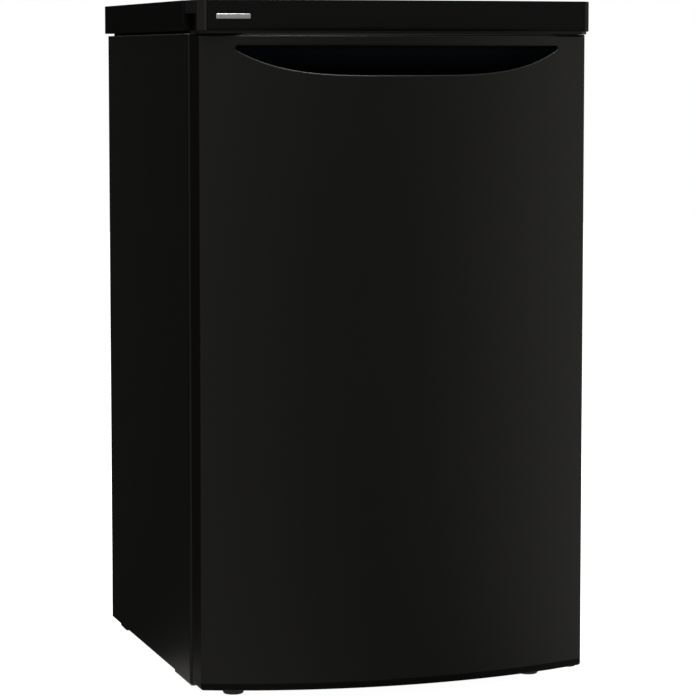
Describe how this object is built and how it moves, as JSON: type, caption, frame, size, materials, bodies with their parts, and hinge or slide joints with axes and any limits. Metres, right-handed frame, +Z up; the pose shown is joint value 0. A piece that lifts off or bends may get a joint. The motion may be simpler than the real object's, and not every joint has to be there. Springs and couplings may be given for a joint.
{
  "type": "table-top refrigerator",
  "caption": "Black under-counter larder refrigerator with a bowed door, a crescent grip recess, a worktop, glass shelves, a crisper drawer and door racks.",
  "frame": {"origin": "on the floor, under the middle of the overall bounding box", "axes": "+Z up, -Y out of the door's front, +X to the viewer's right when facing the door"},
  "size_m": [0.501, 0.6, 0.85],
  "materials": {
    "black_enamel": "satin",
    "zinc_sheet": "satin",
    "foam": "matte",
    "white_liner": "gloss",
    "white_moulding": "satin",
    "aluminium": "satin",
    "black_plastic": "matte",
    "compressor_paint": "gloss",
    "rubber": "matte",
    "gasket_rubber": "matte",
    "copper": "satin",
    "condenser_paint": "satin",
    "worktop_laminate": "matte",
    "worktop_edging": "satin",
    "satin_aluminium": "satin",
    "bracket_steel": "satin",
    "screw_zinc": "satin",
    "lamp_glass": "gloss",
    "clear_cover": "gloss",
    "shelf_glass": "gloss"
  },
  "bodies": {
    "cabinet": {"left_side_panel": "black_enamel", "right_side_panel": "black_enamel", "roof_panel": "zinc_sheet", "back_panel": "zinc_sheet", "base_plate": "zinc_sheet", "compressor_bay_hood": "zinc_sheet", "upper_crossrail": "black_enamel", "lower_crossrail": "black_enamel", "insulation_foam": "foam", "inner_liner": "white_liner", "evaporator_plate": "aluminium", "drain_tube": "white_moulding", "evaporation_tray": "black_plastic", "compressor_platform": "zinc_sheet", "compressor": "compressor_paint", "compressor_grommets": "rubber", "relay_cover": "black_plastic", "mains_cable_gland": "black_plastic", "filter_drier": "copper", "refrigerant_pipes": "copper", "condenser": "condenser_paint", "condenser_brackets": "black_plastic", "worktop_board": "worktop_laminate", "worktop_front_rail": "worktop_edging", "worktop_left_rail": "worktop_edging", "worktop_right_rail": "worktop_edging", "worktop_rear_rail": "worktop_edging", "worktop_corner_caps": "worktop_edging", "badge_plate": "satin_aluminium", "wall_spacers": "black_plastic", "upper_hinge_bracket": "bracket_steel", "lower_hinge_bracket": "bracket_steel", "left_foot_bracket": "bracket_steel", "bracket_screws": "screw_zinc", "rear_feet": "black_plastic", "control_housing": "white_moulding", "lamp_bulb": "lamp_glass", "lamp_cover": "clear_cover", "lower_glass_shelf": "shelf_glass", "middle_glass_shelf": "shelf_glass", "upper_glass_shelf": "shelf_glass", "drawer_cover_shelf": "shelf_glass", "shelf_trims": "white_moulding"},
    "door": {"door_outer_sheet": "black_enamel", "door_top_cap": "black_plastic", "door_bottom_cap": "black_plastic", "door_liner": "white_liner", "door_foam": "foam", "door_gasket": "gasket_rubber", "grip_recess": "black_plastic", "hinge_bushes": "white_moulding", "bottle_rack": "clear_cover", "middle_rack": "clear_cover", "upper_rack": "clear_cover"},
    "bottle_holder": {"bottle_holder": "clear_cover"},
    "crisper_drawer": {"crisper_drawer": "clear_cover"},
    "thermostat_knob": {"thermostat_knob": "white_moulding"},
    "light_switch": {"light_switch_button": "white_moulding"},
    "front_left_foot": {"front_left_foot": "black_plastic"},
    "front_right_foot": {"front_right_foot": "black_plastic"}
  },
  "joints": [
    {"name": "door_hinge", "type": "hinge", "parent": "cabinet", "child": "door", "pos_m": [0.237, -0.233, 0], "axis": [0, 0, 1], "range_deg": [0, 115]},
    {"name": "crisper_slide", "type": "slide", "parent": "cabinet", "child": "crisper_drawer", "axis": [0, -1, 0], "range_m": [0, 0.12]},
    {"name": "light_switch_travel", "type": "slide", "parent": "cabinet", "child": "light_switch", "axis": [0, -1, 0], "range_m": [0, 0.008]},
    {"name": "thermostat_turn", "type": "hinge", "parent": "cabinet", "child": "thermostat_knob", "pos_m": [0.085, -0.192, 0.749], "axis": [0, 1, 0], "range_deg": [0, 270]},
    {"name": "bottle_holder_slide", "type": "slide", "parent": "door", "child": "bottle_holder", "axis": [1, 0, 0], "range_m": [-0.15, 0.15]},
    {"name": "left_foot_screw", "type": "slide", "parent": "cabinet", "child": "front_left_foot", "axis": [0, 0, -1], "range_m": [0, 0.012]},
    {"name": "right_foot_screw", "type": "slide", "parent": "cabinet", "child": "front_right_foot", "axis": [0, 0, -1], "range_m": [0, 0.012]}
  ],
  "couplings": [
    {"joint": "crisper_slide", "follows": "door_hinge", "m_per_rad": 0.05978},
    {"joint": "light_switch_travel", "follows": "door_hinge", "m_per_rad": 0.003985}
  ]
}
